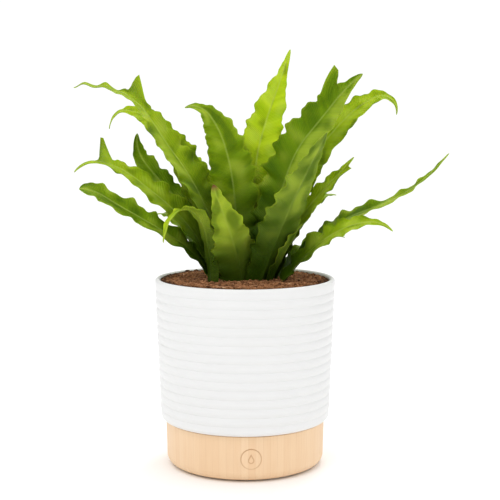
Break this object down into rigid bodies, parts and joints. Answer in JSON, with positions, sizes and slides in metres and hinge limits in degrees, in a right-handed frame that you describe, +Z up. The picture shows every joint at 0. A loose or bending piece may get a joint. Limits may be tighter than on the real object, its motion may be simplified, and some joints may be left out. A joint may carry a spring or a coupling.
{
  "type": "self watering planter",
  "caption": "Ribbed white pot on a turned bamboo water base, with lift-out tank, wick, planted liner, filling shaft and level float, holding a bird's nest fern.",
  "frame": {"origin": "centre of the flat underside of the foot pad, on the pot's axis", "axes": "+Z up along the pot's axis, -Y towards the front with the emblem, +X to the right as seen from the front"},
  "size_m": [0.3126, 0.1871, 0.3522],
  "materials": {
    "cork": "matte",
    "bamboo": "satin",
    "tank_plastic": "satin",
    "silicone": "matte",
    "white_ceramic": "satin",
    "plate_plastic": "matte",
    "liner_plastic": "matte",
    "screen_plastic": "matte",
    "cage_plastic": "satin",
    "felt": "matte",
    "shaft_plastic": "satin",
    "potting_mix": "matte",
    "fern_crown": "matte",
    "fern_leaf": "satin",
    "float_foam": "matte",
    "float_stem": "gloss",
    "float_tip": "gloss"
  },
  "bodies": {
    "base": {"base_cup": "bamboo", "base_pad": "cork"},
    "tank": {"reservoir_tank": "tank_plastic"},
    "pot": {"outer_pot": "white_ceramic", "divider_plate": "plate_plastic", "pot_gasket": "silicone"},
    "liner": {"grow_pot": "liner_plastic", "drain_screen": "screen_plastic", "wick_cage": "cage_plastic", "wick_felt": "felt", "filler_shaft": "shaft_plastic", "potting_mix": "potting_mix", "fern_crown": "fern_crown", "frond_01": "fern_leaf", "frond_02": "fern_leaf", "frond_03": "fern_leaf", "frond_04": "fern_leaf", "frond_05": "fern_leaf", "frond_06": "fern_leaf", "frond_07": "fern_leaf", "frond_08": "fern_leaf", "frond_09": "fern_leaf", "frond_10": "fern_leaf", "frond_11": "fern_leaf", "frond_12": "fern_leaf", "frond_13": "fern_leaf", "frond_14": "fern_leaf", "frond_15": "fern_leaf", "frond_16": "fern_leaf", "frond_17": "fern_leaf", "frond_18": "fern_leaf", "frond_19": "fern_leaf", "frond_20": "fern_leaf", "frond_21": "fern_leaf", "frond_22": "fern_leaf"},
    "float": {"float_puck": "float_foam", "float_stem": "float_stem", "float_tip": "float_tip"}
  },
  "joints": [
    {"name": "tank_lift", "type": "slide", "parent": "base", "child": "tank", "axis": [0, 0, 1], "range_m": [0, 0.04]},
    {"name": "pot_lift", "type": "slide", "parent": "tank", "child": "pot", "axis": [0, 0, 1], "range_m": [0, 0.04]},
    {"name": "liner_lift", "type": "slide", "parent": "pot", "child": "liner", "axis": [0, 0, 1], "range_m": [0, 0.15]},
    {"name": "float_rise", "type": "slide", "parent": "liner", "child": "float", "axis": [0, 0, 1], "range_m": [0, 0.016]}
  ]
}
